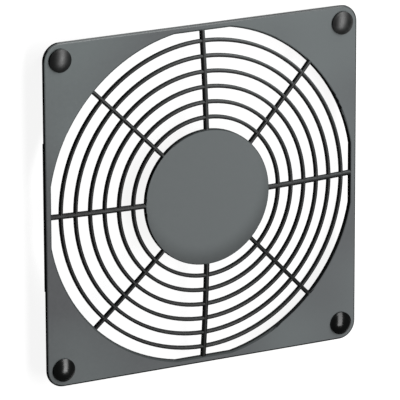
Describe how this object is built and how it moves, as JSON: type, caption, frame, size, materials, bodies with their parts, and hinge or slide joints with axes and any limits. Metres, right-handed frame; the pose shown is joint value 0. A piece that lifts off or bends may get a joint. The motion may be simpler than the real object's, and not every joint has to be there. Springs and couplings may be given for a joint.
{
  "type": "fan finger guard",
  "caption": "Square moulded plastic finger guard for an axial fan: domed grille of concentric rings and spokes round a solid hub, with snap pins behind domed corner heads.",
  "frame": {"origin": "centre of the frame's flat rear face, where it meets the fan, midway between the four pins", "axes": "+Z out of the front of the grille, +X to the right and +Y up as seen from the front"},
  "size_m": [0.1164, 0.1164, 0.0117],
  "materials": {
    "black_plastic": "satin moulded"
  },
  "bodies": {
    "root": {"finger_guard": "black_plastic"}
  },
  "joints": []
}
